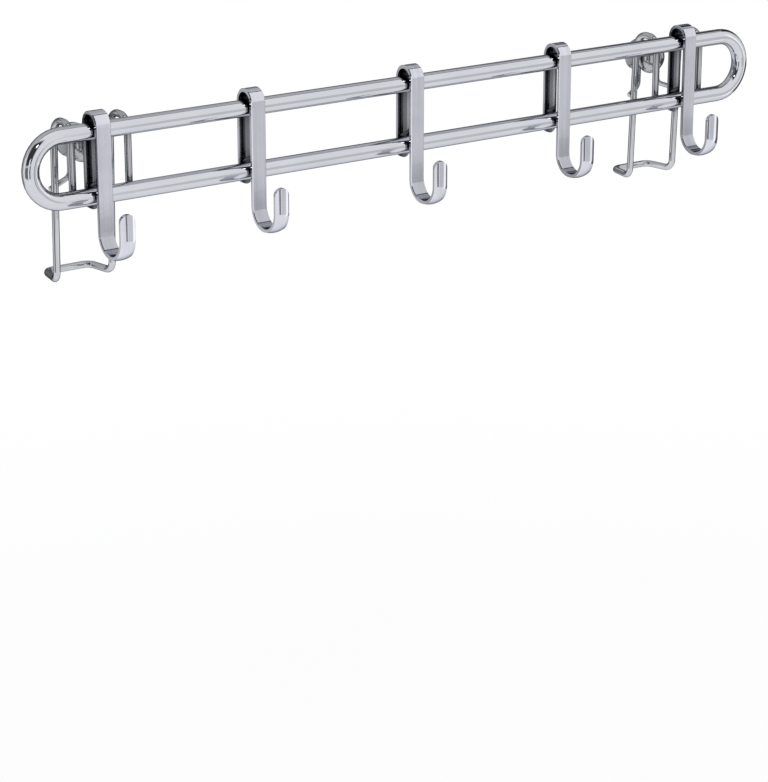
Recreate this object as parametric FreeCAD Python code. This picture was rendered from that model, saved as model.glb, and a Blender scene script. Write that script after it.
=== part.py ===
import FreeCAD, Part
import math
import os

# Wall-hung utensil rail of chromed steel: a closed rod loop on two bent-wire brackets,
# each hung on a wall knob by a welded wire hanger, with five hooks that slide along the loop.
# Millimetres. The origin lies on the wall, midway between the knobs; x runs to the right
# along the rail, y into the wall, z up.

Vector = FreeCAD.Vector

# Rail loop
rail_length = 425.0
rod_diameter = 8.0
rod_spacing = 30.0
rail_standoff = 42.0
rail_drop = 3.0

# Brackets, each one length of wire
bracket_inset = 42.0
bracket_wire = 3.4
leg_spacing = 29.0
leg_depth = 15.8
leg_lean = 2.6
arch_rise = 2.8
arch_front_bend = 6.0
arch_rear_bend = 8.0
short_leg_tail = 2.0
foot_drop = 43.8
foot_splay = 3.0
foot_bend = 4.5
weld_depth = 0.5

# Hangers, each one length of thinner wire behind the long legs
hanger_wire = 2.5
hanger_width = 12.8
hanger_bend = 4.0
hanger_set_back = 1.5
hanger_knee_drop = 14.4
hanger_tail_drop = 18.6
hanger_overhang = 1.3

# Wall knobs, each a base that is screwed to the wall and a domed cap on its neck
knob_inset = 2.0
stem_diameter = 9.0
stem_length = 6.0
collar_diameter = 16.4
collar_thickness = 2.4
collar_edge = 0.5
collar_flare = 4.0
neck_diameter = 8.0
screw_hole = 4.0
screw_head = 7.0
cap_diameter = 16.4
cap_height = 6.6
cap_edge = 0.8
cap_socket_depth = 3.0
cap_clearance = 0.1
seat_clearance = 0.1
hanger_side_clearance = 0.5

# Hooks, each one bent strip that is flat on its show side and crowned on the other
hook_width = 7.6
hook_thickness = 2.3
hook_crown_radius = 11.0
hook_edge = 0.3
hook_clearance = 0.3
hook_headroom = 2.6
hook_tail = 3.3
jaw_width = 17.4
jaw_drop = 26.5
tip_height = 23.2
middle_hooks = 3
end_gap_share = 0.73
middle_hook_shift = -3.2
left_hook_shift = -4.2
right_hook_shift = -1.7

# Places worked out from the sizes above
rod_radius = rod_diameter / 2
wire_radius = bracket_wire / 2
hanger_radius = hanger_wire / 2
rail_y = -rail_standoff
upper_rod_z = -rail_drop + rod_spacing / 2
lower_rod_z = -rail_drop - rod_spacing / 2
bracket_x = rail_length / 2 - bracket_inset
knob_x = bracket_x - knob_inset
short_leg_y = rail_y + rod_radius + wire_radius - weld_depth
long_leg_y = short_leg_y + leg_depth
arch_z = upper_rod_z + arch_rise
foot_z = lower_rod_z - foot_drop
tail_height_share = (arch_z + hanger_tail_drop) / (arch_z - foot_z)
hanger_y = long_leg_y + leg_lean * tail_height_share + wire_radius + hanger_radius - weld_depth
cap_back_y = hanger_y + hanger_set_back - hanger_radius - hanger_side_clearance


def rounded_path(points, radii):
    """Straight runs from point to point, with a tangent arc of its own radius at each corner."""
    edges = []
    start = points[0]
    for before, corner, after, radius in zip(points, points[1:], points[2:], radii):
        back = (before - corner).normalize()
        ahead = (after - corner).normalize()
        half_angle = back.getAngle(ahead) / 2
        bisector = (back + ahead).normalize()
        reach = radius / math.tan(half_angle)
        arc_start = corner + back * reach
        arc_end = corner + ahead * reach
        arc_middle = corner + bisector * (radius / math.sin(half_angle) - radius)
        edges.append(Part.LineSegment(start, arc_start).toShape())
        edges.append(Part.Arc(arc_start, arc_middle, arc_end).toShape())
        start = arc_end
    edges.append(Part.LineSegment(start, points[-1]).toShape())
    return Part.Wire(edges)


def bent_wire(points, radii, diameter):
    """Round wire bent along a rounded path."""
    section = Part.Wire(Part.makeCircle(diameter / 2, points[0], points[1] - points[0]))
    return rounded_path(points, radii).makePipeShell([section], True, False)


def turned(outline, axis_x):
    """Solid turned about a line across the wall through the knob's middle, from (radius, y) edges."""
    face = Part.Face(Part.Wire(outline))
    solid = face.revolve(Vector(0, 0, 0), Vector(0, 1, 0), 360)
    solid.translate(Vector(axis_x, 0, 0))
    return solid


def line(start, end):
    return Part.LineSegment(start, end).toShape()


def arc(start, middle, end):
    return Part.Arc(start, middle, end).toShape()


def rail_loop():
    """Two straight rods joined by half-round ends, in one closed loop."""
    bend = rod_spacing / 2
    end_x = rail_length / 2 - rod_radius - bend
    middle_z = -rail_drop
    right_end = Vector(end_x + bend, rail_y, middle_z)
    left_end = Vector(-end_x - bend, rail_y, middle_z)
    upper_left = Vector(-end_x, rail_y, upper_rod_z)
    upper_right = Vector(end_x, rail_y, upper_rod_z)
    lower_left = Vector(-end_x, rail_y, lower_rod_z)
    lower_right = Vector(end_x, rail_y, lower_rod_z)
    path = Part.Wire([
        line(upper_left, upper_right),
        arc(upper_right, right_end, lower_right),
        line(lower_right, lower_left),
        arc(lower_left, left_end, upper_left),
    ])
    section = Part.Wire(Part.makeCircle(rod_radius, upper_left, Vector(1, 0, 0)))
    return path.makePipeShell([section], True, False)


def bracket(centre_x):
    """Short leg, arch, long leg, foot along the wall, then the same again upwards."""
    left_x = centre_x - leg_spacing / 2
    right_x = centre_x + leg_spacing / 2
    tail_z = lower_rod_z - short_leg_tail
    foot_front_y = long_leg_y + leg_lean
    foot_back_y = -wire_radius
    points = [
        Vector(left_x, short_leg_y, tail_z),
        Vector(left_x, short_leg_y, arch_z),
        Vector(left_x, long_leg_y, arch_z),
        Vector(left_x, foot_front_y, foot_z),
        Vector(left_x + foot_splay, foot_back_y, foot_z),
        Vector(right_x - foot_splay, foot_back_y, foot_z),
        Vector(right_x, foot_front_y, foot_z),
        Vector(right_x, long_leg_y, arch_z),
        Vector(right_x, short_leg_y, arch_z),
        Vector(right_x, short_leg_y, tail_z),
    ]
    rising_bends = [arch_front_bend, arch_rear_bend, foot_bend, foot_bend]
    falling_bends = rising_bends[::-1]
    return bent_wire(points, rising_bends + falling_bends, bracket_wire)


def hanger(centre_x, loop_x):
    """Wire loop that hooks over the knob's neck, with its tails welded behind the long legs."""
    left_x = loop_x - hanger_width / 2
    right_x = loop_x + hanger_width / 2
    tail_reach = leg_spacing / 2 + hanger_overhang
    loop_y = hanger_y + hanger_set_back
    top_z = neck_diameter / 2 + seat_clearance + hanger_radius
    points = [
        Vector(centre_x - tail_reach, hanger_y, -hanger_tail_drop),
        Vector(left_x, loop_y, -hanger_knee_drop),
        Vector(left_x, loop_y, top_z),
        Vector(right_x, loop_y, top_z),
        Vector(right_x, loop_y, -hanger_knee_drop),
        Vector(centre_x + tail_reach, hanger_y, -hanger_tail_drop),
    ]
    return bent_wire(points, [hanger_bend] * 4, hanger_wire)


def knob_base(centre_x):
    """Stem on the wall, collar, cone and neck, turned in one, with a countersunk screw hole right through."""
    stem_radius = stem_diameter / 2
    collar_radius = collar_diameter / 2
    neck_radius = neck_diameter / 2
    hole_radius = screw_hole / 2
    head_radius = screw_head / 2
    collar_back_y = -stem_length
    collar_front_y = collar_back_y - collar_thickness
    neck_end_y = cap_back_y - cap_socket_depth + cap_clearance
    sink_y = neck_end_y + head_radius - hole_radius
    corners = [
        Vector(hole_radius, 0, 0),
        Vector(stem_radius, 0, 0),
        Vector(stem_radius, collar_back_y, 0),
        Vector(collar_radius - collar_edge, collar_back_y, 0),
        Vector(collar_radius, collar_back_y - collar_edge, 0),
        Vector(collar_radius, collar_front_y + collar_edge, 0),
        Vector(collar_radius - collar_edge, collar_front_y, 0),
        Vector(neck_radius, collar_front_y - collar_flare, 0),
        Vector(neck_radius, neck_end_y, 0),
        Vector(head_radius, neck_end_y, 0),
        Vector(hole_radius, sink_y, 0),
    ]
    outline = [line(first, second) for first, second in zip(corners, corners[1:] + corners[:1])]
    return turned(outline, centre_x)


def knob_cap(centre_x):
    """Domed head with a socket in its back for the neck."""
    rim_radius = cap_diameter / 2
    socket_radius = neck_diameter / 2 + cap_clearance
    socket_y = cap_back_y - cap_socket_depth
    top = Vector(0, cap_back_y - cap_height, 0)
    rim = Vector(rim_radius, cap_back_y - cap_edge, 0)
    dome_rise = cap_height - cap_edge
    dome_radius = (rim_radius ** 2 + dome_rise ** 2) / (2 * dome_rise)
    half_turn = math.asin(rim_radius / dome_radius) / 2
    dome_middle = Vector(
        dome_radius * math.sin(half_turn),
        top.y + dome_radius * (1 - math.cos(half_turn)),
        0,
    )
    outline = [
        line(Vector(0, socket_y, 0), Vector(socket_radius, socket_y, 0)),
        line(Vector(socket_radius, socket_y, 0), Vector(socket_radius, cap_back_y, 0)),
        line(Vector(socket_radius, cap_back_y, 0), Vector(rim_radius, cap_back_y, 0)),
        line(Vector(rim_radius, cap_back_y, 0), rim),
        arc(rim, dome_middle, top),
        line(top, Vector(0, socket_y, 0)),
    ]
    return turned(outline, centre_x)


def strip_section():
    """Section of a hook's strip about its middle: flat side at +y with eased edges, crowned side at -y."""
    half = hook_width / 2
    flat_y = hook_thickness / 2
    crown_y = -hook_thickness / 2
    side_y = crown_y + hook_crown_radius - math.sqrt(hook_crown_radius ** 2 - half ** 2)
    right_side = Vector(half, side_y, 0)
    left_side = Vector(-half, side_y, 0)
    corners = [
        left_side,
        Vector(-half, flat_y - hook_edge, 0),
        Vector(hook_edge - half, flat_y, 0),
        Vector(half - hook_edge, flat_y, 0),
        Vector(half, flat_y - hook_edge, 0),
        right_side,
    ]
    edges = [line(first, second) for first, second in zip(corners, corners[1:])]
    edges.append(arc(right_side, Vector(0, crown_y, 0), left_side))
    return Part.Wire(edges)


def strip_end(direction):
    """Half-round end of a hook's strip, pointing up (1) or down (-1) from the middle of its round."""
    half = hook_width / 2
    stub = Part.Face(strip_section()).extrude(Vector(0, 0, direction * half))
    disc = Part.makeCylinder(half, hook_thickness, Vector(0, -hook_thickness / 2, 0), Vector(0, 1, 0))
    return stub.common(disc)


def hook(centre_x):
    """Strip that comes up behind both rods, over the upper one, down in front and out into a jaw."""
    half_width = hook_width / 2
    back_y = rail_y + rod_radius + hook_clearance + hook_thickness / 2
    stem_y = rail_y - rod_radius - hook_clearance - hook_thickness / 2
    tip_y = stem_y - jaw_width - hook_thickness
    over_z = upper_rod_z + hook_headroom
    over_radius = (back_y - stem_y) / 2
    jaw_radius = (stem_y - tip_y) / 2
    jaw_bottom_z = lower_rod_z - jaw_drop
    jaw_z = jaw_bottom_z + hook_thickness / 2 + jaw_radius
    tail_z = lower_rod_z - rod_radius - hook_tail + half_width
    tip_z = jaw_bottom_z + tip_height - half_width
    path = Part.Wire([
        line(Vector(0, back_y, tail_z), Vector(0, back_y, over_z)),
        arc(
            Vector(0, back_y, over_z),
            Vector(0, rail_y, over_z + over_radius),
            Vector(0, stem_y, over_z),
        ),
        line(Vector(0, stem_y, over_z), Vector(0, stem_y, jaw_z)),
        arc(
            Vector(0, stem_y, jaw_z),
            Vector(0, stem_y - jaw_radius, jaw_z - jaw_radius),
            Vector(0, tip_y, jaw_z),
        ),
        line(Vector(0, tip_y, jaw_z), Vector(0, tip_y, tip_z)),
    ])
    section = strip_section()
    section.translate(Vector(0, back_y, tail_z))
    strip = path.makePipeShell([section], True, False)
    tail_end = strip_end(-1)
    tail_end.translate(Vector(0, back_y, tail_z))
    tip_end = strip_end(1)
    tip_end.translate(Vector(0, tip_y, tip_z))
    solid = strip.fuse([tail_end, tip_end]).removeSplitter()
    solid.translate(Vector(centre_x, 0, 0))
    return solid


def hook_places():
    """Middle of each hook along the rail, from left to right: one in each bracket, the rest between."""
    free_run = 2 * (bracket_x - leg_spacing / 2)
    pitch = free_run / (middle_hooks - 1 + 2 * end_gap_share)
    first = middle_hook_shift - pitch * (middle_hooks - 1) / 2
    between = [first + pitch * index for index in range(middle_hooks)]
    return [left_hook_shift - bracket_x] + between + [right_hook_shift + bracket_x]


def build():
    pieces = {"rail_loop": rail_loop()}
    for side, direction in (("left", -1), ("right", 1)):
        pieces[side + "_bracket"] = bracket(direction * bracket_x)
        pieces[side + "_hanger"] = hanger(direction * bracket_x, direction * knob_x)
        pieces[side + "_knob_base"] = knob_base(direction * knob_x)
        pieces[side + "_knob_cap"] = knob_cap(direction * knob_x)
    for number, place in enumerate(hook_places(), start=1):
        pieces["hook_" + str(number)] = hook(place)
    return pieces


os.makedirs("parts", exist_ok=True)
for name, shape in build().items():
    shape.exportStep(os.path.join("parts", name + ".step"))
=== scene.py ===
import math

import bpy
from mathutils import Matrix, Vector


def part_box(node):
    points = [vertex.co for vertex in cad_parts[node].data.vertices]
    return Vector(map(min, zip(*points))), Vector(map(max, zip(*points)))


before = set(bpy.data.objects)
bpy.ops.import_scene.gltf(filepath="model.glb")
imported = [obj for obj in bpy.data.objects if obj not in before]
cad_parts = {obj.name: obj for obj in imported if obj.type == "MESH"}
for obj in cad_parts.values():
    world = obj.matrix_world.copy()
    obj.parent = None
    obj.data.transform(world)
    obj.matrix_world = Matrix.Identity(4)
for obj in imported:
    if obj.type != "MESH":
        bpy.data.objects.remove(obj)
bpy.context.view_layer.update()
scene = bpy.context.scene

# Camera, fitted to the straight runs and round ends of the rail loop
photo_width = 768
photo_height = 782
focal_pixels = 2700
sensor_width = 36
view_turn = math.radians(34.897)
view_dip = math.radians(18.791)
camera_place = Vector((-0.74288, -1.08059, 0.28966))

# Studio, in metres: a small pale floor well below the rail, cards that stand round it, and lights
# that stand a little nearer
rail_middle = sum(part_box("rail_loop"), Vector()) / 2
floor_height = -0.45
floor_radius = 0.9
floor_sides = 64
card_distance = 2.0
light_distance = 1.9

# Share of the floor's radius where its shadow starts to fade, share of the shadow that shows, and
# the tints of the floor and the light, and of the backdrop
fade_start_share = 0.6
shadow_share = 0.35
pale = (0.97, 0.97, 0.975, 1)
white = (1, 1, 1, 1)

# Cards and lights that only the metal sees: turn to the right of straight out from the wall, rise
# above the horizon, width and height as seen from the rail (all in degrees), and brightness, where
# 1 is the white round them
cards = {
    "left_card": (-66, 31, 76, 62, 0.05),
    "left_low_card": (-66, -9, 76, 27, 0.20),
    "left_light": (-55, -9, 13, 50, 1.15),
    "side_card": (-136, -6, 20, 60, 0.40),
    "back_card": (184, 2, 66, 84, 0.28),
    "back_right_card": (138, 22, 26, 36, 0.40),
    "overhead_card": (180, 55, 120, 60, 0.58),
    "overhead_strip": (180, 87, 120, 8, 0.04),
    "front_card": (36, -6, 29, 32, 0.72),
    "tip_card": (15, -13, 10, 11, 0.22),
    "right_light": (57, -6, 12, 60, 1.4),
    "low_light": (70, -41, 60, 22, 1.4),
    "right_card": (88, -20, 50, 24, 0.16),
    "right_high_card": (112, 28, 40, 36, 0.04),
}

# Share of a card's half width or height over which its edge fades
card_feather = 0.3

# Small lamp at the upper left, for the bright points on the bends
lamp_place = Vector((-1.1, -1.0, 1.3))
lamp_width = 0.3
lamp_height = 0.22
lamp_watts = 1.0

# Shade painted into the colour in corners: reach in metres, and the range of openness over which it
# sets in
painted_shade_reach = 0.02
painted_shade_range = (0.45, 0.95)

# Clouds and grain in the plate, and the range that holds most of a noise's values
cloud_scale = 60
cloud_stretch = (1, 1, 1)
cloud_detail = 3
grain_detail = 4
grain_depth = 0.00002
noise_range = (0.3, 0.7)

# Each finish: darker and lighter tint, least and most roughness, the grain's scale, stretch and
# strength, and how bright a closed corner stays under the painted shade
finishes = {
    "rail_rod": {
        "dark": (0.61, 0.625, 0.67),
        "light": (0.67, 0.685, 0.73),
        "roughness": (0.03, 0.06),
        "grain_scale": 900,
        "grain_stretch": (0.02, 1, 1),
        "grain_strength": 0.02,
        "painted_shade_level": 1,
    },
    "bracket_wire": {
        "dark": (0.53, 0.54, 0.57),
        "light": (0.63, 0.64, 0.67),
        "roughness": (0.02, 0.05),
        "grain_scale": 300,
        "grain_stretch": (1, 1, 0.3),
        "grain_strength": 0.02,
        "painted_shade_level": 0.4,
    },
    # Darker tints than the cap, the same chrome: painted shade on the base's face
    "knob_base": {
        "dark": (0.34, 0.345, 0.36),
        "light": (0.44, 0.445, 0.46),
        "roughness": (0.08, 0.16),
        "grain_scale": 500,
        "grain_stretch": (1, 6, 1),
        "grain_strength": 0.04,
        "painted_shade_level": 0.4,
    },
    "knob_cap": {
        "dark": (0.56, 0.57, 0.60),
        "light": (0.65, 0.66, 0.69),
        "roughness": (0.08, 0.16),
        "grain_scale": 500,
        "grain_stretch": (1, 6, 1),
        "grain_strength": 0.04,
        "painted_shade_level": 0.4,
    },
    "hook_strip": {
        "dark": (0.58, 0.59, 0.655),
        "light": (0.77, 0.78, 0.855),
        "roughness": (0.06, 0.12),
        "grain_scale": 500,
        "grain_stretch": (1, 0.03, 0.03),
        "grain_strength": 0.02,
        "painted_shade_level": 0.18,
    },
}

# Tint of every finish at a glancing angle
edge_tint = (0.15, 0.15, 0.18, 1)


def linked(tree, kind, sources):
    """New node with the given sockets or values on its inputs."""
    made = tree.nodes.new(kind)
    for name, source in sources.items():
        if isinstance(source, bpy.types.NodeSocket):
            tree.links.new(source, made.inputs[name])
        else:
            made.inputs[name].default_value = source
    return made


def empty_tree(owner):
    """Node tree of a material or world, with its nodes taken out."""
    owner.use_nodes = True
    owner.node_tree.nodes.clear()
    return owner.node_tree


def maths(tree, operation, first, second):
    """Result of one operation on two values."""
    made = linked(tree, "ShaderNodeMath", {0: first, 1: second})
    made.operation = operation
    return made.outputs["Value"]


def between(tree, source, source_range, result_range):
    """Value moved from one range to another, and kept inside it."""
    mapped = linked(tree, "ShaderNodeMapRange", {
        "Value": source,
        "From Min": source_range[0],
        "From Max": source_range[1],
        "To Min": result_range[0],
        "To Max": result_range[1],
    })
    return mapped.outputs["Result"]


def stretched_noise(tree, scale, stretch, detail):
    """Noise over the object, stretched along each axis by its own factor."""
    place = tree.nodes.new("ShaderNodeTexCoord").outputs["Object"]
    mapping = linked(tree, "ShaderNodeMapping", {"Vector": place, "Scale": stretch})
    noise = linked(tree, "ShaderNodeTexNoise", {
        "Vector": mapping.outputs["Vector"],
        "Scale": scale,
        "Detail": detail,
    })
    return noise.outputs["Fac"]


def tint_with_painted_shade(tree, share, dark, light, painted_shade_level):
    """Colour between two tints, with shade painted in where the metal is closed in by other metal."""
    tint = linked(tree, "ShaderNodeValToRGB", {"Fac": share})
    tint.color_ramp.elements[0].color = (*dark, 1)
    tint.color_ramp.elements[1].color = (*light, 1)
    # Painted shade: the tint is darkened where other metal closes it in
    corner = linked(tree, "ShaderNodeAmbientOcclusion", {"Distance": painted_shade_reach})
    level = between(tree, corner.outputs["AO"], painted_shade_range, (painted_shade_level, 1))
    shaded = linked(tree, "ShaderNodeVectorMath", {0: tint.outputs["Color"]})
    shaded.operation = "SCALE"
    tree.links.new(level, shaded.inputs["Scale"])
    return shaded.outputs["Vector"]


def chrome(name, finish):
    """Bright plate with a cloudy tint, shade painted into the corners, and a fine grain in gloss and
    surface.
    """
    made = bpy.data.materials.new(name)
    tree = empty_tree(made)
    cloud = stretched_noise(tree, cloud_scale, cloud_stretch, cloud_detail)
    grain = stretched_noise(tree, finish["grain_scale"], finish["grain_stretch"], grain_detail)
    both = maths(tree, "ADD", cloud, grain)
    share = between(tree, both, (2 * noise_range[0], 2 * noise_range[1]), (0, 1))
    bump = linked(tree, "ShaderNodeBump", {
        "Height": grain,
        "Strength": finish["grain_strength"],
        "Distance": grain_depth,
    })
    tint = tint_with_painted_shade(tree, share, finish["dark"], finish["light"], finish["painted_shade_level"])
    shader = linked(tree, "ShaderNodeBsdfPrincipled", {
        "Base Color": tint,
        "Metallic": 1,
        "Roughness": between(tree, grain, noise_range, finish["roughness"]),
        "Specular Tint": edge_tint,
        "Normal": bump.outputs["Normal"],
    })
    linked(tree, "ShaderNodeOutputMaterial", {"Surface": shader.outputs["BSDF"]})
    return made


def seen_directly(tree):
    """1 for rays from the camera, and for those that metal or glass sends on."""
    path = tree.nodes.new("ShaderNodeLightPath").outputs
    mirrored = maths(tree, "MAXIMUM", path["Is Glossy Ray"], path["Is Transmission Ray"])
    return maths(tree, "MAXIMUM", path["Is Camera Ray"], mirrored)


def white_world():
    """White all round where it is seen, and a soft even light otherwise."""
    world = bpy.data.worlds.new("studio")
    tree = empty_tree(world)
    backdrop = linked(tree, "ShaderNodeBackground", {"Color": white, "Strength": 1})
    light = linked(tree, "ShaderNodeBackground", {"Color": pale, "Strength": 1})
    chosen = linked(tree, "ShaderNodeMixShader", {
        "Fac": seen_directly(tree),
        1: light.outputs["Background"],
        2: backdrop.outputs["Background"],
    })
    linked(tree, "ShaderNodeOutputWorld", {"Surface": chosen.outputs["Shader"]})
    scene.world = world


def floor_material():
    """Pale matt floor that keeps a share of the shadow and fades into the backdrop."""
    made = bpy.data.materials.new("pale_floor")
    tree = empty_tree(made)
    place = tree.nodes.new("ShaderNodeTexCoord").outputs["Object"]
    radius = linked(tree, "ShaderNodeVectorMath", {0: place})
    radius.operation = "LENGTH"
    fade = (fade_start_share * floor_radius, floor_radius)
    cover = between(tree, radius.outputs["Value"], fade, (1 - shadow_share, 1))
    matt = linked(tree, "ShaderNodeBsdfDiffuse", {"Color": pale})
    glow = linked(tree, "ShaderNodeEmission", {"Color": white, "Strength": 1})
    surface = linked(tree, "ShaderNodeMixShader", {
        "Fac": maths(tree, "MULTIPLY", seen_directly(tree), cover),
        1: matt.outputs["BSDF"],
        2: glow.outputs["Emission"],
    })
    linked(tree, "ShaderNodeOutputMaterial", {"Surface": surface.outputs["Shader"]})
    return made


def card_material(name, half_width, half_height, level):
    """Even brightness that fades into the white round it near the card's edges."""
    made = bpy.data.materials.new(name)
    tree = empty_tree(made)
    place = tree.nodes.new("ShaderNodeTexCoord").outputs["Object"]
    across = linked(tree, "ShaderNodeSeparateXYZ", {"Vector": place}).outputs
    sideways = maths(tree, "ABSOLUTE", maths(tree, "DIVIDE", across["X"], half_width), 0)
    upward = maths(tree, "ABSOLUTE", maths(tree, "DIVIDE", across["Y"], half_height), 0)
    outward = maths(tree, "MAXIMUM", sideways, upward)
    brightness = between(tree, outward, (1 - card_feather, 1), (level, 1))
    glow = linked(tree, "ShaderNodeEmission", {"Color": white, "Strength": brightness})
    linked(tree, "ShaderNodeOutputMaterial", {"Surface": glow.outputs["Emission"]})
    return made


def stage_mesh(name, corners, cover):
    """One flat face that belongs to the studio."""
    mesh = bpy.data.meshes.new(name)
    mesh.from_pydata(corners, [], [range(len(corners))])
    mesh.materials.append(cover)
    held = bpy.data.objects.new(name, mesh)
    scene.collection.objects.link(held)
    return held


def floor():
    """Round floor under the rail."""
    turns = [2 * math.pi * side / floor_sides for side in range(floor_sides)]
    corners = [(floor_radius * math.cos(turn), floor_radius * math.sin(turn), 0) for turn in turns]
    held = stage_mesh("floor", corners, floor_material())
    held.location = (rail_middle.x, rail_middle.y, floor_height)


def card(name, turn, rise, width, height, level):
    """Card or light that faces the rail and shows in the metal, and lights or shades nothing else."""
    distance = light_distance if level > 1 else card_distance
    half_width = distance * math.tan(math.radians(width / 2))
    half_height = distance * math.tan(math.radians(height / 2))
    corners = [
        (-half_width, -half_height, 0),
        (half_width, -half_height, 0),
        (half_width, half_height, 0),
        (-half_width, half_height, 0),
    ]
    held = stage_mesh(name, corners, card_material(name, half_width, half_height, level))
    turn_angle = math.radians(turn)
    rise_angle = math.radians(rise)
    outward = Vector((
        math.sin(turn_angle) * math.cos(rise_angle),
        -math.cos(turn_angle) * math.cos(rise_angle),
        math.sin(rise_angle),
    ))
    held.location = rail_middle + outward * distance
    held.rotation_euler = outward.to_track_quat("-Z", "Y").to_euler()
    held.visible_camera = False
    held.visible_diffuse = False
    held.visible_transmission = False
    held.visible_shadow = False


def lamp():
    """Small area lamp that points at the middle of the rail."""
    light = bpy.data.lights.new("lamp", "AREA")
    light.shape = "RECTANGLE"
    light.size = lamp_width
    light.size_y = lamp_height
    light.energy = lamp_watts
    held = bpy.data.objects.new("lamp", light)
    held.location = lamp_place
    held.rotation_euler = (rail_middle - lamp_place).to_track_quat("-Z", "Y").to_euler()
    scene.collection.objects.link(held)


def camera():
    """Camera at the photograph's place and angle, with its field of view."""
    optics = bpy.data.cameras.new("camera")
    optics.sensor_width = sensor_width
    optics.lens = focal_pixels * sensor_width / max(photo_width, photo_height)
    held = bpy.data.objects.new("camera", optics)
    ahead = Vector((
        math.sin(view_turn) * math.cos(view_dip),
        math.cos(view_turn) * math.cos(view_dip),
        -math.sin(view_dip),
    ))
    held.location = camera_place
    held.rotation_euler = ahead.to_track_quat("-Z", "Y").to_euler()
    scene.collection.objects.link(held)
    scene.camera = held


def finish_of(node_name):
    """Name of the finish that a piece wears."""
    for ending in ("knob_base", "knob_cap"):
        if node_name.endswith(ending):
            return ending
    if node_name.startswith("hook"):
        return "hook_strip"
    return "rail_rod" if node_name == "rail_loop" else "bracket_wire"


looks = {name: chrome(name + "_chrome", finish) for name, finish in finishes.items()}
for name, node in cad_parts.items():
    for slot in node.material_slots:
        slot.material = looks[finish_of(name)]

white_world()
floor()
for name, values in cards.items():
    card(name, *values)
lamp()
camera()
scene.view_settings.view_transform = "Standard"
